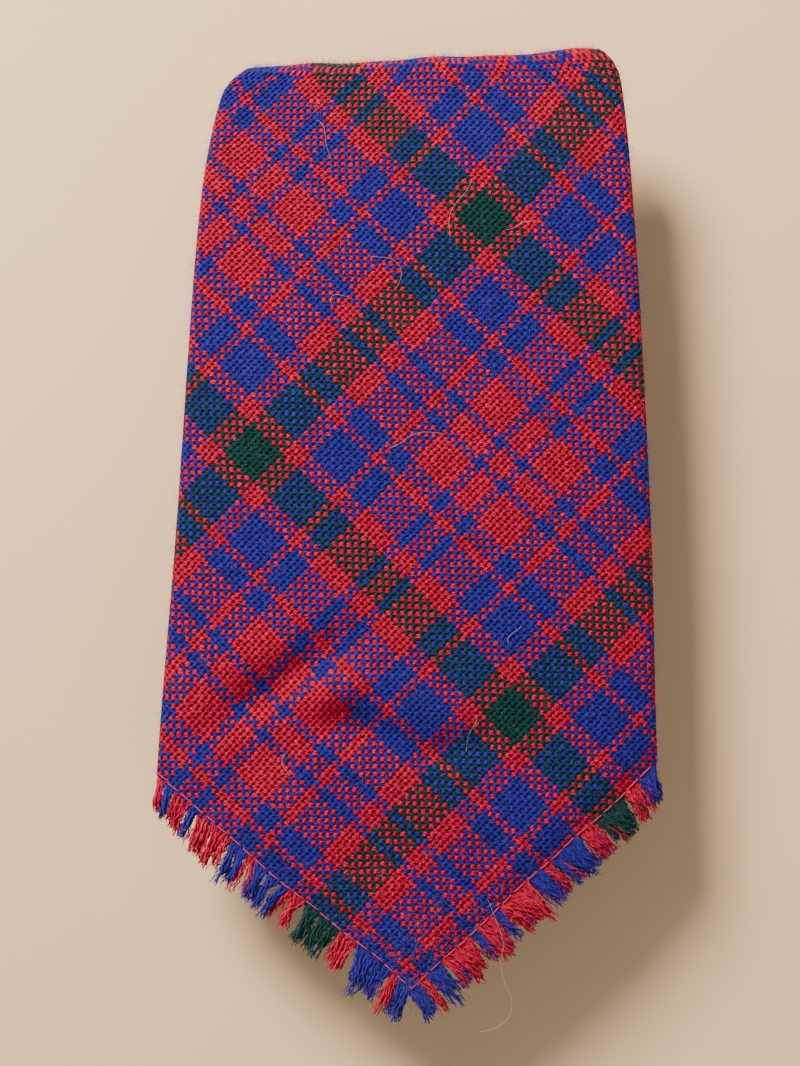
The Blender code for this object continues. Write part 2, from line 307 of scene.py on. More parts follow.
BLADE_CORNER = corner_of(("blade_shell_tip",))
TAIL_CORNER = corner_of(("tail_shell_tip",))
TOP_EDGE = box_mm("fold_1")[1][1]
UNDER_Y = np.array([row[1] for row in PATH if row[6] == 2.0])[::-1]
UNDER_HALF = np.array([row[5] for row in PATH if row[6] == 2.0])[::-1]


def crease_height(x, y):
    height = np.zeros_like(x)
    for centre, above_tip, degrees, length, width, rise in CREASES:
        turn = math.radians(degrees)
        dx, dy = x - centre, y - (TIP_Y + above_tip)
        along = dx * math.cos(turn) + dy * math.sin(turn)
        side = -dx * math.sin(turn) + dy * math.cos(turn)
        height += rise * np.exp(-((along / length) ** 2) - (side / width) ** 2)
    height += 0.22 * np.sin(x * 0.11 + 1.3 * np.sin(y * 0.045)) * np.cos(y * 0.083 + 0.7)
    return height


def settle(points, on_top=1.0, up=1.0, turned=0.0):
    """Where the top panel's cloth really lies. on_top is 1 on the panel and 0 below it, and up is 1 on the
    cloth's face and 0 on its back, which rests on the panel below and so keeps out of the creases. turned
    is the share of the top fold already passed: the slant of the top edge fades round it, or the cloth
    would pleat when the fold opens."""
    x, y, z = points.T.copy()
    below = np.maximum(TOP_EDGE - y, 0.0)
    near = smooth(1.0 - below / TOP_REACH)
    pull = np.where(x < 0.0, CORNER_PULL[0], CORNER_PULL[1]) * np.exp(-below / CORNER_REACH)
    pull = pull + CORNER_ROUND * np.exp(-((below / CORNER_ROUND_REACH) ** 2))
    wave = 0.22 * np.sin(x * 0.19 + 0.8) + 0.12 * np.sin(x * 0.43)
    ear = EAR * np.exp(-(((x - EAR_X) / 4.5) ** 2)) * np.exp(-below / 4.0)
    spread = np.exp(-below / 5.0)
    shift = near * (TOP_SHIFT + TOP_SLANT * x) + ear + spread * wave
    skew = smooth((-15.0 - y) / 30.0) * np.maximum(-x, 0.0) / 50.0
    shift = shift - LEFT_CORNER_LOWER * skew
    shift = shift * (1.0 - smooth(turned) ** 2 * np.where(shift > 0.0, 1.0, 0.3))
    sideways = CORNER_SIDEWAYS * np.exp(-(((y - BLADE_CORNER[1]) / 32.0) ** 2))
    beyond = np.maximum(np.abs(x) - np.interp(y, UNDER_Y, UNDER_HALF) + SIDE_SUPPORT, 0.0)
    hang = np.maximum(TIP_SUPPORT - y, 0.0)
    droop = SIDE_DROOP * beyond**2 + TIP_DROOP * hang**2
    crown = CROWN * smooth((46.0 - np.abs(x)) / 30.0) * smooth(below / 30.0) * smooth((y - TIP_Y) / 40.0)
    rise = up * (crease_height(x, y) * smooth(below / 25.0) + crown)
    return np.column_stack((
        x * (1.0 - pull / TOP_HALF_WIDTH) + sideways,
        y + shift,
        z + on_top * (rise - droop),
    ))


# ---------------------------------------------------------------- meshes

def make_object(name, points, faces, threads=None):
    """An object from points in millimetres. threads gives each point its place in the weave."""
    mesh = bpy.data.meshes.new(name)
    mesh.from_pydata((np.asarray(points) * MM).tolist(), [], np.asarray(faces).tolist())
    mesh.update()
    if threads is not None:
        layer = mesh.uv_layers.new(name="weave")
        corners = np.empty(len(mesh.loops), np.int32)
        mesh.loops.foreach_get("vertex_index", corners)
        layer.data.foreach_set("uv", np.asarray(threads, np.float32)[corners].ravel())
    mesh.shade_smooth()
    piece = bpy.data.objects.new(name, mesh)
    bpy.context.scene.collection.objects.link(piece)
    return piece


def finish_piece(piece, material, body=None, stands_for=()):
    piece.data.materials.clear()
    piece.data.materials.append(material)
    if body:
        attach(piece, body)
    if stands_for:
        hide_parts(*stands_for)
    return piece


def tubes(paths, radii, sides=3):
    """Points and faces of a tube along each path: paths is (tubes, rings, 3) and radii is (tubes, rings)."""
    along = np.gradient(paths, axis=1)
    along /= np.linalg.norm(along, axis=2, keepdims=True) + 1e-9
    across = np.cross(along, (0.0, 0.0, 1.0))
    upright = np.linalg.norm(across, axis=2, keepdims=True) < 0.15
    across = np.where(upright, np.cross(along, (1.0, 0.0, 0.0)), across)
    across /= np.linalg.norm(across, axis=2, keepdims=True) + 1e-9
    over = np.cross(across, along)
    turns = 2.0 * math.pi * np.arange(sides) / sides
    ring = across[:, :, None] * np.cos(turns)[:, None] + over[:, :, None] * np.sin(turns)[:, None]
    points = paths[:, :, None] + radii[:, :, None, None] * ring
    index = np.arange(points[..., 0].size).reshape(points.shape[:3])
    after = np.roll(index, -1, axis=2)
    faces = np.stack((index[:, :-1], after[:, :-1], after[:, 1:], index[:, 1:]), axis=-1)
    return points.reshape(-1, 3), faces.reshape(-1, 4)


# ---------------------------------------------------------------- the sleeve

def section(stations, point_end):
    """The cloth's outline across the tie at each station, from the under flap's raw edge round to the upper
    flap's: x, the height above the sleeve's middle, and mm across the flat cloth. point_end is (tip y,
    corner half width, corner y)."""
    width = stations[:, 5].copy()
    band = width.copy()
    full = np.full(len(stations), 1e3)
    if point_end:
        tip, corner_half, corner_y = point_end
        y = stations[:, 1]
        straight = (stations[:, 6] % 1 == 0) & (np.abs(stations[:, 6] - point_end_panel(point_end)) < 0.5)
        inside = straight & (y < corner_y)
        above = straight & (y > corner_y + 20)
        taper = (corner_half - width[above].mean()) / (y[above].mean() - corner_y)
        band[inside] = corner_half + taper * (corner_y - y[inside])
        width[inside] = np.maximum(corner_half * (y[inside] - tip) / (corner_y - tip), 0.05)
        slope = math.hypot(corner_half, corner_y - tip)
        full = np.where(straight, 0.0, 1e3)

    def thickness(x):
        if not point_end:
            return np.full_like(x, HALF)
        gap = ((y - tip)[:, None] * corner_half - np.abs(x) * (corner_y - tip)) / slope
        gap = np.maximum(gap, 0.0) + full[:, None]
        return PINCHED_HALF + (HALF - PINCHED_HALF) * smooth(gap / PINCH_REACH)

    edge = np.minimum(thickness(width[:, None])[:, 0], np.maximum(width * 0.5, 0.02))
    inner = width - edge
    shrink = np.minimum(1.0, inner / (2.0 * LAP))
    girth = 2.0 * (band - HALF) + HALF * math.pi
    xs, heights, flats = [], [], []

    def add(x, height, flat):
        xs.append(x)
        heights.append(height)
        flats.append(flat)

    for x, lift in UNDER_FLAP:
        x = x * shrink
        deep = thickness(x[:, None])[:, 0]
        add(x, -deep + LAP_LIFT * lift * deep / HALF, -(girth + x))
    for share in np.linspace(0.0, 1.0, BACK_POINTS)[1:]:
        x = UNDER_FLAP[-1][0] * shrink * (1.0 - share) - inner * share
        add(x, -thickness(x[:, None])[:, 0], -(girth + x))
    for turn in np.linspace(math.pi, 0.0, ROLL_POINTS + 2)[1:-1]:
        x = -inner - edge * math.sin(turn)
        flat = -(inner + edge * turn) - (band - width) * 2.0 * turn / math.pi
        add(x, edge * math.cos(turn), flat)
    for share in np.linspace(-1.0, 1.0, FRONT_POINTS):
        x = inner * share
        add(x, thickness(x[:, None])[:, 0], x)
    for turn in np.linspace(0.0, math.pi, ROLL_POINTS + 2)[1:-1]:
        x = inner + edge * math.sin(turn)
        flat = inner + edge * turn + (band - width) * 2.0 * turn / math.pi
        add(x, edge * math.cos(turn), flat)
    for share in np.linspace(0.0, 1.0, BACK_POINTS + 2):
        x = inner * (1.0 - share) - LAP_EDGE * shrink * share
        add(x, -thickness(x[:, None])[:, 0], girth - x)
    for out, lift in HEM:
        x = -(LAP_EDGE + out) * shrink
        deep = thickness(x[:, None])[:, 0]
        add(x, -deep + lift * deep / HALF, girth + LAP_EDGE + abs(out) + 0.3)
    return np.stack(xs, axis=1), np.stack(heights, axis=1), np.stack(flats, axis=1)


def point_end_panel(point_end):
    return 1 if point_end[0] == TIP_Y else PANELS


def bend_with_cloth(piece, fold):
    """Bakes the piece's placement into its mesh. It finds the heights of the panels either side of the fold
    but does not use them, and does not bend the piece."""
    start = Vector((0.0, 0.0, layer_middle(fold) * MM))
    end = Vector((0.0, 0.0, layer_middle(fold + 1) * MM))
    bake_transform(piece)


def sleeve(fold):
    """The cloth from the middle of one panel, round the fold, to the middle of the next."""
    first = 0 if fold == 1 else MIDDLES[fold]
    last = len(PATH) - 1 if fold == PANELS - 1 else MIDDLES[fold + 1]
    stations = PATH[first:last + 1]
    point_end = None
    if fold == 1:
        point_end = (TIP_Y, *BLADE_CORNER)
    if fold == PANELS - 1:
        point_end = (TAIL_TIP_Y, *TAIL_CORNER)
    x, height, flat = section(stations, point_end)
    y = stations[:, 1, None] + stations[:, 3, None] * height
    z = stations[:, 2, None] + stations[:, 4, None] * height
    points = np.stack((x, y, z), axis=-1).reshape(-1, 3)
    threads = weave_at(flat, np.repeat(stations[:, :1], flat.shape[1], axis=1)).reshape(-1, 2)
    place = np.repeat(stations[:, 6], flat.shape[1])
    if fold == 1:
        on_top = 1.0 - np.clip((place - 1.0) * 2.0, 0.0, 1.0)
        up = np.clip(height.ravel() / HALF * 0.5 + 0.5, 0.0, 1.0)
        points = settle(points, on_top, up, np.clip(place - 1.0, 0.0, 1.0))
    index = np.arange(flat.size).reshape(flat.shape)
    faces = np.stack((index[:-1, :-1], index[:-1, 1:], index[1:, 1:], index[1:, :-1]), axis=-1).reshape(-1, 4)
    piece = make_object(f"tartan_sleeve_{fold}", points, faces, threads)
    finish_piece(piece, TARTAN)
    bend_with_cloth(piece, fold)
    stands_for = [f"fold_{fold}", *PANEL_SHELLS[fold]]
    if fold in JOIN_SEAMS:
        stands_for.append(JOIN_SEAMS[fold])
    if fold == PANELS - 1:
        stands_for.extend(PANEL_SHELLS[PANELS])
    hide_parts(*stands_for)
    cut_width = 2.0 * float(np.abs(flat).max())
    cut_length = float(stations[-1, 0] - stations[0, 0])
    spans = flat.max(axis=1) - flat.min(axis=1)
    area = float(np.trapz(spans, stations[:, 0]))
    return piece, (cut_width * MM, cut_length * MM), area * MM * MM


# ---------------------------------------------------------------- materials

def new_material(name, roughness, sheen=0.0, specular=0.2):
    material = bpy.data.materials.new(name)
    material.use_nodes = True
    shader = material.node_tree.nodes["Principled BSDF"]
    shader.inputs["Roughness"].default_value = roughness
    shader.inputs["Specular IOR Level"].default_value = specular
    shader.inputs["Sheen Weight"].default_value = sheen
    shader.inputs["Sheen Roughness"].default_value = 0.5
    return material, material.node_tree, shader


def feed(tree, socket, given):
    if isinstance(given, bpy.types.NodeSocket):
        tree.links.new(given, socket)
    else:
        socket.default_value = given


def calc(tree, operation, *given, clamp=False):
    node = tree.nodes.new("ShaderNodeMath")
    node.operation = operation
    node.use_clamp = clamp
    for socket, value in zip(node.inputs, given):
        feed(tree, socket, value)
    return node.outputs[0]


def combine(tree, x, y, z=0.0):
    node = tree.nodes.new("ShaderNodeCombineXYZ")
    for socket, value in zip(node.inputs, (x, y, z)):
        feed(tree, socket, value)
    return node.outputs[0]


def noise(tree, vector, scale, detail=2.0, roughness=0.5):
    node = tree.nodes.new("ShaderNodeTexNoise")
    feed(tree, node.inputs["Vector"], vector)
    node.inputs["Scale"].default_value = scale
    node.inputs["Detail"].default_value = detail
    node.inputs["Roughness"].default_value = roughness
    return node.outputs["Fac"]


def product(tree, first, second):
    return calc(tree, "MULTIPLY", first, second)


def mix(tree, share, first, second):
    node = tree.nodes.new("ShaderNodeMix")
    node.data_type = "RGBA"
    feed(tree, node.inputs["Factor"], share)
    colours = (socket for socket in node.inputs if socket.type == "RGBA")
    for socket, given in zip(colours, (first, second)):
        feed(tree, socket, given)
    return next(out for out in node.outputs if out.type == "RGBA")


def scaled(tree, colour, amount):
    """The colour, darker or lighter by a number."""
    node = tree.nodes.new("ShaderNodeVectorMath")
    node.operation = "SCALE"
    feed(tree, node.inputs[0], colour)
    feed(tree, node.inputs["Scale"], amount)
    return node.outputs[0]


def between(tree, value, low, high, to_low, to_high):
    node = tree.nodes.new("ShaderNodeMapRange")
    for socket, given in zip(node.inputs, (value, low, high, to_low, to_high)):
        feed(tree, socket, given)
    return node.outputs[0]


def add_bump(tree, shader, height, strength, distance):
    bump = tree.nodes.new("ShaderNodeBump")
    bump.inputs["Strength"].default_value = strength
    bump.inputs["Distance"].default_value = distance
    tree.links.new(height, bump.inputs["Height"])
    tree.links.new(bump.outputs[0], shader.inputs["Normal"])


def sett_colour(tree, yarn):
    """The colour of the yarn with this number."""
    half_sett = sum(count for count, colour in SETT)
    turned = calc(tree, "PINGPONG", calc(tree, "ADD", yarn, 0.5), half_sett)
    ramp = tree.nodes.new("ShaderNodeValToRGB")
    ramp.color_ramp.interpolation = "CONSTANT"
    stops = ramp.color_ramp.elements
    stops.remove(stops[1])
    passed = 0
    for number, (count, colour) in enumerate(SETT):
        stop = stops[0] if number == 0 else stops.new(passed / half_sett)
        stop.color = (*YARN_COLOURS[colour], 1.0)
        passed += count
    feed(tree, ramp.inputs["Fac"], calc(tree, "DIVIDE", turned, half_sett))
    return ramp.outputs["Color"]


def weave_coordinates(tree):
    node = tree.nodes.new("ShaderNodeUVMap")
    node.uv_map = "weave"
    split = tree.nodes.new("ShaderNodeSeparateXYZ")
    tree.links.new(node.outputs["UV"], split.inputs[0])
    return node.outputs["UV"], split.outputs[0], split.outputs[1]


CRIMP = 0.36                # how far a yarn rises and falls, in yarn spacings
YARN_BULGE = 0.9            # how round it is
YARN_HALF = 0.47            # half its width
OVER_SHARPNESS = 14.0       # how sudden the change of colour is where one yarn passes over another
WAVER = 0.9                 # how much a yarn strays from its straight line


def yarn_surface(tree, own, other, sign):
    """(number, height, distance from the middle) of the yarns of one direction, which pass over and under
    those of the other."""
    number = calc(tree, "FLOOR", own)
    off = calc(tree, "SUBTRACT", calc(tree, "FRACT", own), 0.5)
    round_part = calc(tree, "MAXIMUM", calc(tree, "SUBTRACT", YARN_HALF**2, product(tree, off, off)), 0.0)
    profile = product(tree, calc(tree, "SQRT", round_part), YARN_BULGE)
    phase = product(tree, calc(tree, "ADD", calc(tree, "SUBTRACT", other, 0.5), number), math.pi)
    wave = product(tree, calc(tree, "COSINE", phase), sign * CRIMP)
    return number, calc(tree, "ADD", wave, profile), off


def tartan_material():
    material, tree, shader = new_material("tartan_cloth", 0.9, sheen=0.02, specular=0.12)
    uv, a, b = weave_coordinates(tree)
    waver_a = calc(tree, "SUBTRACT", noise(tree, uv, 0.55, 2.0, 0.7), 0.5)
    waver_b = calc(tree, "SUBTRACT", noise(tree, combine(tree, b, a, 7.0), 0.55, 2.0, 0.7), 0.5)
    a = calc(tree, "ADD", a, product(tree, waver_a, WAVER))
    b = calc(tree, "ADD", b, product(tree, waver_b, WAVER))
    number_a, height_a, off_a = yarn_surface(tree, a, b, 1.0)
    number_b, height_b, off_b = yarn_surface(tree, b, a, -1.0)
    higher = calc(tree, "SUBTRACT", height_a, height_b)
    over = calc(tree, "ADD", product(tree, higher, OVER_SHARPNESS), 0.5, clamp=True)
    top = calc(tree, "MAXIMUM", height_a, height_b)

    fibre_a = noise(tree, combine(tree, product(tree, a, 7.0), product(tree, b, 2.2)), 1.0, 3.0, 0.6)
    fibre_b = noise(tree, combine(tree, product(tree, a, 2.2), product(tree, b, 7.0), 3.0), 1.0, 3.0, 0.6)
    tint_a = noise(tree, combine(tree, product(tree, number_a, 3.7), product(tree, b, 0.12)), 1.0, 1.0)
    tint_b = noise(tree, combine(tree, product(tree, a, 0.12), product(tree, number_b, 3.7)), 1.0, 1.0)

    bead = tree.nodes.new("ShaderNodeTexWhiteNoise")
    bead.noise_dimensions = "2D"
    tree.links.new(combine(tree, number_a, number_b), bead.inputs["Vector"])
    bead_tone = between(tree, bead.outputs["Value"], 0.0, 1.0, 0.82, 1.12)

    def ply(own_off, other):
        """The ridges of the yarn's two twisted strands."""
        turns = calc(tree, "ADD", product(tree, own_off, 1.3), other)
        return calc(tree, "COSINE", product(tree, turns, 2.0 * math.pi))

    ply_a, ply_b = ply(off_a, b), ply(off_b, a)

    def toned(number, fibre, tint, ridge):
        light = between(tree, fibre, 0.3, 0.72, 0.55, 1.22)
        light = product(tree, light, between(tree, tint, 0.3, 0.7, 0.84, 1.08))
        # Painted shade and highlight: the grooves between a yarn's two strands are darker and the ridges a
        # little lighter.
        light = product(tree, light, between(tree, ridge, -1.0, 1.0, 0.74, 1.08))
        return scaled(tree, sett_colour(tree, number), product(tree, light, bead_tone))

    colour = mix(tree, over, toned(number_b, fibre_b, tint_b, ply_b), toned(number_a, fibre_a, tint_a, ply_a))
    # Painted shade: where the yarn surface lies low, between the yarns and where one passes under another,
    # the colour is darkened.
    colour = scaled(tree, colour, between(tree, top, 0.22, 0.6, 0.20, 1.04))
    loose = between(tree, noise(tree, uv, 3.3, 4.0, 0.7), 0.60, 0.80, 0.0, 0.06)
    colour = mix(tree, loose, colour, (0.72, 0.60, 0.58, 1.0))
    tree.links.new(colour, shader.inputs["Base Color"])

    under = calc(tree, "SUBTRACT", 1.0, over)
    grain_a = calc(tree, "ADD", product(tree, fibre_a, 0.30), product(tree, ply_a, 0.07))
    grain_b = calc(tree, "ADD", product(tree, fibre_b, 0.30), product(tree, ply_b, 0.07))
    grain = calc(tree, "ADD", product(tree, over, grain_a), product(tree, under, grain_b))
    add_bump(tree, shader, calc(tree, "ADD", top, grain), 1.0, 0.0013)
    return material


def yarn_material(name, pale, dark=1.0):
    """Loose woollen yarn, coloured by its number in the sett, with a pale share on its fibres."""
    material, tree, shader = new_material(name, 0.9, sheen=0.05, specular=0.12)
    a, b = weave_coordinates(tree)[1:]
    colour = sett_colour(tree, calc(tree, "FLOOR", a))
    fibre = noise(tree, combine(tree, product(tree, a, 9.0), product(tree, b, 1.4)), 1.0, 3.0)
    colour = scaled(tree, colour, between(tree, fibre, 0.3, 0.7, 0.65 * dark, 1.45 * dark))
    share = between(tree, noise(tree, combine(tree, a, b, 5.0), 2.3, 2.0), 0.35, 0.75, pale * 0.4, pale * 1.6)
    colour = mix(tree, share, colour, (0.70, 0.62, 0.62, 1.0))
    tree.links.new(colour, shader.inputs["Base Color"])
    return material


def plain_fibre_material(name, colour, roughness=0.75, variation=0.25, scale=900.0):
    """Thread or felt of one colour, with the unevenness of its fibres in colour and bump."""
    material, tree, shader = new_material(name, roughness, sheen=0.2)
    where = tree.nodes.new("ShaderNodeTexCoord").outputs["Object"]
    fibre = noise(tree, where, scale, 3.0, 0.6)
    tone = scaled(tree, colour, between(tree, fibre, 0.3, 0.7, 1.0 - variation, 1.0 + variation))
    tree.links.new(tone, shader.inputs["Base Color"])
    add_bump(tree, shader, fibre, 0.6, 0.0002)
    return material


TARTAN = tartan_material()
FRINGE = yarn_material("fringe_yarn", 0.012, 0.66)
NAP = yarn_material("wool_nap", 0.18, 1.1)
RED_THREAD = plain_fibre_material("pale_red_thread", (0.60, 0.030, 0.060), 0.7)
INTERLINING = plain_fibre_material("felted_interlining", (0.62, 0.57, 0.47), 0.95, 0.3, 1500.0)
STRAY = plain_fibre_material("stray_wool", (0.62, 0.46, 0.42), 0.6, 0.1)


# ---------------------------------------------------------------- build the sleeves

SLEEVES = [sleeve(fold) for fold in range(1, PANELS)]

for panel in range(3, PANELS + 1):
    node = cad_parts[f"interlining_{panel}"]
    node.data.materials.clear()
    node.data.materials.append(INTERLINING)

# ---------------------------------------------------------------- what lies in and on the sleeve

def interlining_strip(panel):
    """The interlining of one of the two top panels, which follows the way the cloth lies."""
    stations = PATH[PATH[:, 6] == panel]
    low, high = box_mm(f"interlining_{panel}")
    ys = stations[:, 1]
    stations = stations[(ys > low[1] + (4.0 if panel == 1 else 0.0)) & (ys < high[1])]
    reach = stations[:, 5] - 5.0
    if panel == 1:
        corner_half, corner_y = BLADE_CORNER
        reach = np.minimum(reach, corner_half * (stations[:, 1] - low[1]) / (corner_y - TIP_Y) * 0.92)
    x = np.maximum(reach, 0.4)[:, None] * np.linspace(-1.0, 1.0, 31)
    y = np.repeat(stations[:, 1:2], x.shape[1], axis=1)
    layers = []
    for z in (high[2], low[2]):
        up = (z - layer_middle(panel)) / HALF * 0.5 + 0.5
        flat_points = np.stack((x, y, np.full_like(x, z)), axis=-1).reshape(-1, 3)
        layers.append(settle(flat_points, float(panel == 1), up, float(panel == 2)))
    count = len(layers[0])
    index = np.arange(count).reshape(x.shape)
    top = np.stack((index[:-1, :-1], index[:-1, 1:], index[1:, 1:], index[1:, :-1]), axis=-1).reshape(-1, 4)
    rim = np.concatenate((index[0], index[1:, -1], index[-1, -2::-1], index[-2:0:-1, 0]))
    side = np.column_stack((np.roll(rim, -1), rim, rim + count, np.roll(rim, -1) + count))
    faces = np.concatenate((top, top[:, ::-1] + count, side))
    faces = faces if ys[-1] > ys[0] else faces[:, ::-1]
    piece = make_object(f"interlining_under_cloth_{panel}", np.concatenate(layers), faces)
    return finish_piece(piece, INTERLINING, f"panel_{panel}", (f"interlining_{panel}",))


class PointEnd:
    """One pointed end of the tie: where its edges run, how its cloth lies, and which yarns cross an edge."""

    def __init__(self, name, panel, tip_y, corner, distance, settles):
        self.name = name
        self.panel = panel
        self.tip_y = tip_y
        self.corner_half, self.corner_y = corner
        self.middle = layer_middle(panel)
        self.facing = 1.0 if panel % 2 else -1.0
        self.distance = distance
        self.settles = settles

    def lay(self, x, y, height):
        """Points on the end's cloth: height is towards its face, from the sleeve's middle."""
        points = np.column_stack((x, y, self.middle + self.facing * height))
        return settle(points, 1.0, 1.0) if self.settles else points

    def edge(self, side, share):
        """(x, y) on an edge: side is -1 on the left and 1 on the right, and share 0 at the tip and 1 at the
        corner."""
        return side * self.corner_half * share, self.tip_y + (self.corner_y - self.tip_y) * share

    def threads(self, x, y):
        return weave_at(x, self.distance + self.facing * (y - self.tip_y))


BLADE_END = PointEnd("blade", 1, TIP_Y, BLADE_CORNER, 0.0, True)
TAIL_END = PointEnd("tail", PANELS, TAIL_TIP_Y, TAIL_CORNER, TIE_LENGTH, False)

# The direction of the fringe, in degrees below level, at the tip, in the middle of an edge and at the corner.
LEAN = {-1: (64.0, 56.0, 74.0), 1: (54.0, 42.0, 78.0)}


def fringe(end, side, hides):
    """The ravelled edge of both layers of cloth: each yarn is a bundle of fine curly strands with stray
    fibres."""
    family = 0 if side * end.facing > 0 else 1
    shares = np.linspace(0.0, 1.0, 400)
    numbers = end.threads(*end.edge(side, shares))[:, family]
    order = np.argsort(numbers)
    first, last = math.ceil(numbers.min() - 0.5), math.floor(numbers.max() - 0.5)
    yarns = np.arange(first, last + 1)
    places = np.interp(yarns + 0.5, numbers[order], shares[order])
    half_sett = sum(count for count, colour in SETT)
    bounds = np.cumsum([0] + [count for count, colour in SETT])
    turned = half_sett - np.abs((yarns + 0.5) % (2 * half_sett) - half_sett)
    band = np.searchsorted(bounds, turned)
    starts = np.flatnonzero(np.diff(band, prepend=-1))
    group = np.cumsum(np.isin(np.arange(len(yarns)), starts))
    centres = np.array([places[group == value].mean() for value in group])
    pairs = np.round(places * len(places) / 3.0) * 3.0 / len(places)
    at_tip, midway, at_corner = LEAN[side]
    paths, radii, owners = [], [], []
    rings = 13
    along = np.linspace(0.0, 1.0, rings)
    for layer in (0, 1):
        for number, place, centre, pair in zip(yarns, places, centres, pairs):
            loose = np.exp(-(((place - 0.5) / 0.25) ** 2)) if side < 0 else 0.15
            target = place + (centre - place) * 0.28 + (pair - place) * 0.85 * loose
            length = FRINGE_LENGTH * (0.92 + 0.15 * random.standard_normal()) * (0.9 if layer else 1.0)
            length *= 1.0 - 0.22 * smooth((place - 0.8) / 0.2)
            lean = np.interp(place, (0.0, 0.5, 0.85, 1.0), (at_tip, midway, midway + 6, at_corner))
            yarn_lean = lean + random.normal(0.0, 3.0)
            total = STRANDS_PER_YARN + (FUZZ_PER_YARN if layer == 0 else 0)
            for strand in range(total):
                fuzz = strand >= STRANDS_PER_YARN
                root = np.clip(place + random.normal(0.0, 0.004), 0.0, 1.0)
                x0, y0 = end.edge(side, root)
                towards = target + random.normal(0.0, STRAND_SPREAD * (1.0 + fuzz))
                x1, y1 = end.edge(side, np.clip(towards, -0.01, 1.01))
                turn = math.radians(yarn_lean + random.normal(0.0, 3.6 + 16.0 * fuzz))
                reach = length * (random.uniform(0.35, 1.12) if fuzz else random.uniform(0.9, 1.04))
                dx, dy = side * math.cos(turn), -math.sin(turn)
                out = -FRINGE_ROOT + along * (reach + FRINGE_ROOT)
                x = x0 + (x1 - x0) * smooth(along * 1.4) + dx * out
                y = y0 + (y1 - y0) * smooth(along * 1.4) + dy * out
                curl, phase = random.uniform(0.15, 0.6 + 0.5 * fuzz), random.uniform(0.0, 6.3)
                waves, crimp = random.uniform(3.0, 8.0), random.uniform(0.08, 0.22)
                fine = CRIMP_TURNS * along + 2.0 * phase
                aside = curl * along * np.sin(waves * along + phase) + crimp * np.sin(fine)
                x = x - aside * dy
                y = y + aside * dx
                lift = (0.22 if layer == 0 else -0.22) + 0.5 * random.standard_normal() * along
                height = lift + 0.5 * curl * along * np.cos(waves * along + phase) - 0.9 * along**2
                height = np.maximum(height + crimp * np.cos(fine), FRINGE_LOWEST)
                height = height if end.facing > 0 else -height
                points = end.lay(x, y, height)
                points[:, 2] = np.maximum(points[:, 2], 0.25)
                limit = end.corner_half + 1.9
                points[:, 0] = np.clip(points[:, 0], -limit, limit)
                thick = 0.035 if fuzz else random.uniform(0.13, 0.22)
                paths.append(points)
                radii.append(thick * (1.0 - 0.5 * along**4))
                drift = 0 if side < 0 else 3 * layer
                owners.append(number + drift + 0.5)
    points, faces = tubes(np.array(paths), np.array(radii), 3)
    reach = np.repeat(np.tile(along, len(paths)), 3) * FRINGE_LENGTH
    own_place = np.repeat(np.arange(len(paths)), rings * 3) % 97
    threads = np.column_stack((np.repeat(owners, rings * 3), reach + own_place))
    side_name = "left" if side < 0 else "right"
    piece = make_object(f"{end.name}_fringe_{side_name}_yarns", points, faces, threads)
    return finish_piece(piece, FRINGE, f"panel_{end.panel}", (hides,))


def stitch_row(route, length, gap, radius, lay, rise):
    """Running stitches along a route of (x, y) points: each comes up out of the cloth and goes down into
    it."""
    route = np.asarray(route, float)
    steps = np.linalg.norm(np.diff(route, axis=0), axis=1)
    passed = np.concatenate(((0.0,), np.cumsum(steps)))
    rings = 7
    paths, radii = [], []
    start = 0.0
    while start + length < passed[-1]:
        size = length * random.uniform(0.85, 1.12)
        at = start + size * np.linspace(0.0, 1.0, rings)
        x = np.interp(at, passed, route[:, 0]) + random.normal(0.0, 0.05)
        y = np.interp(at, passed, route[:, 1]) + random.normal(0.0, 0.05)
        arch = np.sin(np.linspace(0.0, math.pi, rings)) ** 0.5
        paths.append(lay(x, y, rise * arch - 0.12 * (1.0 - arch)))
        radii.append(np.full(rings, radius))
        start += size + gap
    return tubes(np.array(paths), np.array(radii), 6)


def stay_stitches(end, hides):
    inset = STAY_INSET * math.hypot(1.0, end.corner_half / (end.corner_y - end.tip_y))
    shares = np.linspace(1.0, 0.0, 40)
    left = np.column_stack(end.edge(-1, shares)) + (0.0, inset)
    right = np.column_stack(end.edge(1, shares[::-1])) + (0.0, inset)
    wander = 0.28 * np.sin(np.linspace(0.0, 19.0, 80)) + 0.15 * np.sin(np.linspace(0.0, 47.0, 80))
    route = np.concatenate((left, right))
    route[:, 1] += wander
    seen = PINCHED_HALF + 0.22

    def lay(x, y, height):
        return end.lay(x, y, seen + height)

    def lay_behind(x, y, height):
        return end.lay(x, y, -seen - height)

    front, front_faces = stitch_row(route, STITCH_LENGTH, STITCH_GAP, STITCH_RADIUS, lay, 0.18)
    rear, rear_faces = stitch_row(route, STITCH_LENGTH, STITCH_GAP, STITCH_RADIUS, lay_behind, 0.18)
    points = np.concatenate((front, rear))
    faces = np.concatenate((front_faces, rear_faces + len(front)))
    piece = make_object(f"{end.name}_stay_stitches", points, faces)
    return finish_piece(piece, RED_THREAD, f"panel_{end.panel}", (hides,))


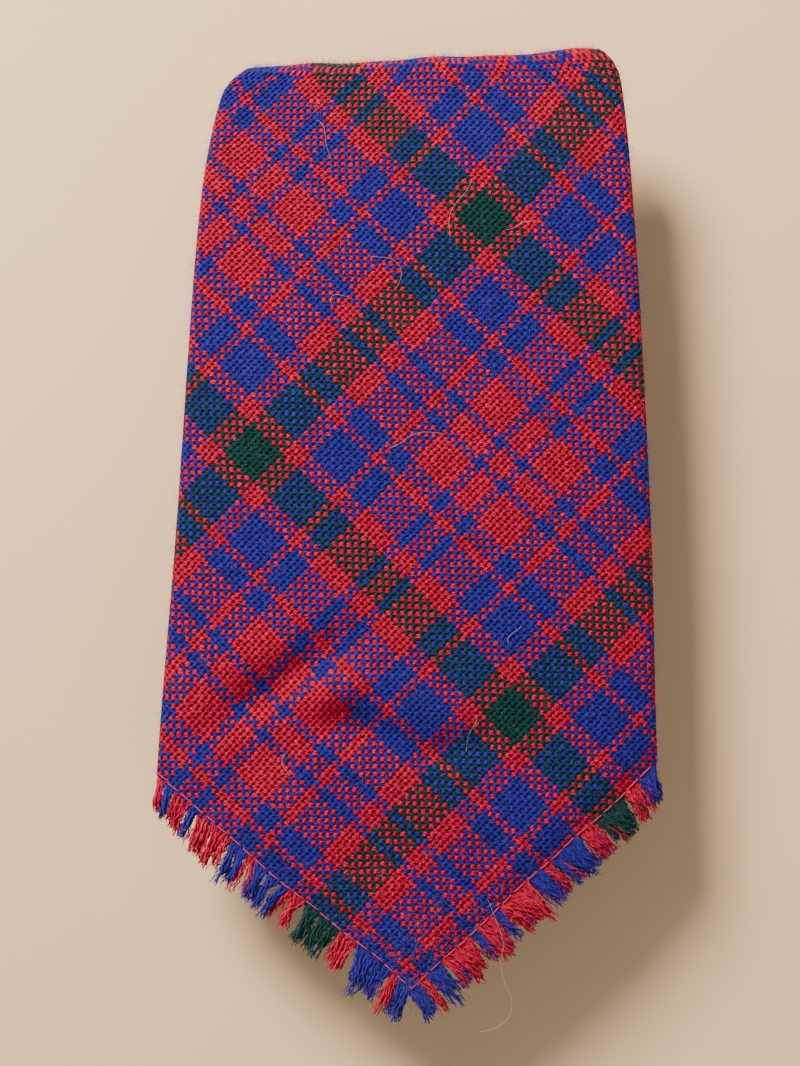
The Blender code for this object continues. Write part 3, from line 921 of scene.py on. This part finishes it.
def back_seam(panel):
    """Slip stitches that hold the upper flap's folded edge down, along the middle of the tie's back."""
    low, high = box_mm(f"back_seam_{panel}")
    facing = 1.0 if panel % 2 else -1.0
    paths, radii = [], []
    for y in np.arange(low[1] + 4.0, high[1] - 3.0, SEAM_STITCH_EVERY):
        share = np.linspace(0.0, 1.0, 7)
        x = -LAP_EDGE - 0.9 + 1.9 * share
        down = 0.28 * np.sin(share * math.pi) ** 0.6 - 0.10
        height = -(HALF + down - 0.14)
        along_y = y + 1.3 * share + random.normal(0.0, 0.2)
        points = np.column_stack((x, along_y, layer_middle(panel) + facing * height))
        paths.append(settle(points, 1.0, 0.0) if panel == 1 else points)
        radii.append(np.full(7, 0.10))
    points, faces = tubes(np.array(paths), np.array(radii), 6)
    piece = make_object(f"slip_stitches_{panel}", points, faces)
    return finish_piece(piece, RED_THREAD, f"panel_{panel}", (f"back_seam_{panel}",))


def join_stitches(panel):
    """The seam of one of the two diagonal joins: short stitches along its line on the face."""
    points = mesh_points(JOIN_SEAMS[panel])
    slope, place = np.polyfit(points[:, 0], points[:, 1], 1)
    reach = np.abs(points[:, 0]).max() - 2.5
    x = np.linspace(-reach, reach, 30)
    route = np.column_stack((x, slope * x + place))
    facing = 1.0 if panel % 2 else -1.0

    def lay(x, y, height):
        return np.column_stack((x, y, layer_middle(panel) + facing * (HALF + height)))

    points, faces = stitch_row(route, 1.5, 0.35, 0.10, lay, 0.03)
    piece = make_object(f"join_stitches_{panel}", points, faces)
    return finish_piece(piece, RED_THREAD, f"panel_{panel}")


def bar_tack(end, hides):
    """A short bar of thread across the back seam: a few strands laid along it, wrapped close together."""
    low, high = box_mm(hides)
    middle = (low + high) / 2.0
    half = (high - low) / 2.0
    behind = -end.facing
    ring = np.linspace(0.0, 2.0 * math.pi, 11)
    paths, radii = [], []
    for x in np.linspace(middle[0] - half[0], middle[0] + half[0], 27):
        lean = 0.10 * np.sin(ring)
        points = np.column_stack((
            x + lean + random.normal(0.0, 0.02),
            middle[1] + 0.62 * half[1] * np.cos(ring),
            middle[2] + behind * 0.12 + 0.30 * np.sin(ring),
        ))
        paths.append(settle(points, 1.0, 0.0) if end.settles else points)
        radii.append(np.full(11, 0.16))
    points, faces = tubes(np.array(paths), np.array(radii), 5)
    piece = make_object(f"{end.name}_tack_thread", points, faces)
    return finish_piece(piece, RED_THREAD, f"panel_{end.panel}", (hides,))


def hair_paths(roots, directions, lengths, curl, rings=4):
    """A curved hair from each root: directions are unit vectors, and curl is how far each bends aside for its
    length."""
    along = np.linspace(0.0, 1.0, rings)[None, :, None]
    aside = np.cross(directions, random.standard_normal(directions.shape))
    aside /= np.linalg.norm(aside, axis=1, keepdims=True) + 1e-9
    reach = lengths[:, None, None]
    return roots[:, None] + directions[:, None] * along * reach + aside[:, None] * along**2 * reach * curl


def top_nap():
    """Short fibres that stand off the cloth of the top panel, closest together along its sides and its
    fold."""
    face_y = random.uniform(TIP_Y, TOP_EDGE - 4.0, NAP_HAIRS)
    top = PATH[PATH[:, 6] == 1.0]
    widths = np.interp(face_y, top[:, 1], top[:, 5])
    corner_half, corner_y = BLADE_CORNER
    widths = np.minimum(widths, corner_half * (face_y - TIP_Y) / (corner_y - TIP_Y))
    face_x = widths * random.uniform(-1.0, 1.0, NAP_HAIRS)
    edge = np.maximum(widths - np.abs(face_x), 0.0)
    height = np.where(face_y < corner_y + 8.0, HALF * smooth(edge / PINCH_REACH), HALF)
    height = np.minimum(height, np.sqrt(np.maximum(HALF**2 - np.maximum(HALF - edge, 0.0) ** 2, 0.04)))
    roots = settle(np.column_stack((face_x, face_y, layer_middle(1) + height)))
    threads = weave_at(face_x, face_y - TIP_Y)
    directions = random.standard_normal((NAP_HAIRS, 3)) * (1.0, 1.0, 0.35)
    directions[:, 2] = np.abs(directions[:, 2]) + 0.15
    lengths = random.uniform(0.5, 1.5, NAP_HAIRS)

    side_y = random.uniform(corner_y, TOP_EDGE - 3.0, EDGE_HAIRS)
    side = random.choice((-1.0, 1.0), EDGE_HAIRS)
    side_half = np.interp(side_y, top[:, 1], top[:, 5])
    turn = random.uniform(-0.5, 1.2, EDGE_HAIRS)
    side_x = side * (side_half - HALF + HALF * np.cos(turn))
    side_roots = settle(np.column_stack((side_x, side_y, layer_middle(1) + HALF * np.sin(turn))))
    side_out = np.column_stack((side * np.cos(turn), random.normal(0.0, 0.8, EDGE_HAIRS), np.sin(turn) + 0.2))
    side_threads = weave_at(side_x, side_y - TIP_Y)

    fold_y, fold_z, fold_radius = fold_centre(1)
    fold_x = random.uniform(-TOP_HALF_WIDTH, TOP_HALF_WIDTH, EDGE_HAIRS)
    turn = random.uniform(0.2, 2.0, EDGE_HAIRS)
    outer = fold_radius + HALF
    fold_points = np.column_stack((fold_x, fold_y + outer * np.sin(turn), fold_z + outer * np.cos(turn)))
    fold_roots = settle(fold_points, 1.0 - np.clip(turn / math.pi * 2.0, 0.0, 1.0), 1.0, turn / math.pi)
    fold_out = np.column_stack((random.normal(0.0, 0.7, EDGE_HAIRS), np.sin(turn), np.cos(turn) * 0.5))
    fold_threads = weave_at(fold_x, fold_y + fold_radius * turn - TIP_Y)

    roots = np.concatenate((roots, side_roots, fold_roots))
    directions = np.concatenate((directions, side_out, fold_out))
    directions /= np.linalg.norm(directions, axis=1, keepdims=True)
    lengths = np.concatenate((lengths, random.uniform(0.4, 1.6, 2 * EDGE_HAIRS)))
    threads = np.concatenate((threads, side_threads, fold_threads))
    rings = 4
    paths = hair_paths(roots, directions, lengths, 0.7, rings)
    radii = np.full(paths.shape[:2], 0.022) * (1.0 - 0.5 * np.linspace(0.0, 1.0, rings))
    points, faces = tubes(paths, radii, 3)
    owners = np.repeat(threads, rings * 3, axis=0)
    piece = make_object("blade_nap", points, faces, owners)
    finish_piece(piece, NAP)
    bend_with_cloth(piece, 1)


def loose_hairs():
    """Long pale hairs that lie about on the top panel, and one that curls out past the point."""
    rings = 16
    along = np.linspace(0.0, 1.0, rings)
    paths = []
    for hair in range(LOOSE_HAIRS):
        y = random.uniform(TIP_Y + 22.0, TOP_EDGE - 14.0)
        x = random.uniform(-36.0, 36.0)
        turn = random.uniform(0.0, 2.0 * math.pi)
        length = random.uniform(4.0, 15.0)
        bend = random.normal(0.0, 1.4)
        angles = turn + bend * along + 0.5 * np.sin(along * 5.0 + turn)
        xs = x + np.cumsum(np.cos(angles)) * length / rings
        ys = y + np.cumsum(np.sin(angles)) * length / rings
        within = np.abs(xs) < 41.0
        if not within.all() or ys.max() > TOP_EDGE - 8.0 or ys.min() < TIP_Y + 18.0 + np.abs(xs).max():
            continue
        z = np.full(rings, layer_middle(1) + HALF + 0.10) + 0.25 * np.sin(along * math.pi)
        paths.append(settle(np.column_stack((xs, ys, z))))
    curl = np.array(STRAY_CURL)
    spread = np.linspace(0.0, len(curl) - 1.0, rings)
    xs = np.interp(spread, range(len(curl)), curl[:, 0])
    ys = np.interp(spread, range(len(curl)), curl[:, 1]) + TIP_Y
    z = layer_middle(1) + 1.9 - 1.2 * along
    paths.append(settle(np.column_stack((xs, ys, z))))
    paths = np.array(paths)
    radii = np.full(paths.shape[:2], 0.022)
    points, faces = tubes(paths, radii, 4)
    piece = make_object("loose_hairs", points, faces)
    return finish_piece(piece, STRAY, "panel_1")


interlining_strip(1)
interlining_strip(2)
FRINGES = {}
for end, prefix in ((BLADE_END, "blade"), (TAIL_END, "tail")):
    FRINGES[prefix] = [
        fringe(end, -1, f"{prefix}_fringe_left"),
        fringe(end, 1, f"{prefix}_fringe_right"),
        stay_stitches(end, f"{prefix}_stay_stitch"),
    ]
    bar_tack(end, f"{prefix}_bar_tack")
for panel in range(1, PANELS + 1):
    back_seam(panel)
for panel in JOIN_SEAMS:
    join_stitches(panel)
top_nap()
loose_hairs()

# ---------------------------------------------------------------- floor, light and camera

FLOOR_GAP = 0.15            # mm
FLOOR_REACH = 6.0           # metres
FLOOR_COLOUR = (0.87, 0.61, 0.34)
KEY_PLACE = (-0.36, 0.54, 0.54)         # metres, as below
FILL_PLACE = (0.5, -0.7, 0.9)
FIELD = math.radians(35.5)
VIEW_TILT = math.radians(4.0)
VIEW_ROLL = math.radians(0.32)
VIEW_DISTANCE = 337.0
VIEW_TARGET = (-2.9, -0.9, 25.0)
SENSOR = 36.0


def make_floor():
    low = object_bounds()[0]
    mesh = bpy.data.meshes.new("floor")
    z = low.z - FLOOR_GAP * MM
    corners = [(x * FLOOR_REACH, y * FLOOR_REACH, z) for x, y in ((-1, -1), (1, -1), (1, 1), (-1, 1))]
    mesh.from_pydata(corners, [], [(0, 1, 2, 3)])
    floor = bpy.data.objects.new("floor", mesh)
    bpy.context.scene.collection.objects.link(floor)
    material, tree, shader = new_material("pale_floor", 0.7, specular=0.3)
    where = tree.nodes.new("ShaderNodeTexCoord").outputs["Object"]
    tone = between(tree, noise(tree, where, 6.0, 4.0), 0.3, 0.7, 0.96, 1.04)
    tree.links.new(scaled(tree, FLOOR_COLOUR, tone), shader.inputs["Base Color"])
    floor.data.materials.append(material)


def add_light(data, place, power, colour):
    data.energy = power
    data.color = colour
    light = bpy.data.objects.new(data.name, data)
    light.location = place
    bpy.context.scene.collection.objects.link(light)
    return light


def key_light(place, size, power, colour):
    """A soft round lamp. An area light has a dark side, which would show when the tie is opened."""
    data = bpy.data.lights.new("key", "POINT")
    data.shadow_soft_size = size / 2.0
    add_light(data, place, power, colour)


def fill_light(place, size, power, colour):
    data = bpy.data.lights.new("fill", "AREA")
    data.shape = "DISK"
    data.size = size
    light = add_light(data, place, power, colour)
    light.rotation_euler = (-Vector(place)).to_track_quat("-Z", "Y").to_euler()


def make_lights():
    key_light(KEY_PLACE, 0.30, 68.0, (1.0, 0.93, 0.84))
    fill_light(FILL_PLACE, 0.9, 2.0, (0.95, 0.97, 1.0))
    world = bpy.data.worlds.new("studio")
    world.use_nodes = True
    background = world.node_tree.nodes["Background"]
    background.inputs["Color"].default_value = (1.0, 0.97, 0.93, 1.0)
    background.inputs["Strength"].default_value = 0.30
    bpy.context.scene.world = world


def make_camera():
    data = bpy.data.cameras.new("camera")
    data.sensor_width = SENSOR
    data.lens = SENSOR / 2.0 / math.tan(FIELD / 2.0)
    camera = bpy.data.objects.new("camera", data)
    turn = Matrix.Rotation(VIEW_ROLL, 4, "Z") @ Matrix.Rotation(VIEW_TILT, 4, "X")
    back = turn @ Vector((0.0, 0.0, 1.0))
    camera.matrix_world = Matrix.Translation((Vector(VIEW_TARGET) + back * VIEW_DISTANCE) * MM) @ turn
    data.clip_start = 0.01
    bpy.context.scene.collection.objects.link(camera)
    bpy.context.scene.camera = camera


make_floor()
make_lights()
make_camera()

FRINGES_OF = {0: FRINGES["blade"], len(SLEEVES) - 1: FRINGES["tail"]}
for number, (piece, flat, area) in enumerate(SLEEVES):
    ends = FRINGES_OF.get(number, [])
    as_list(ends)
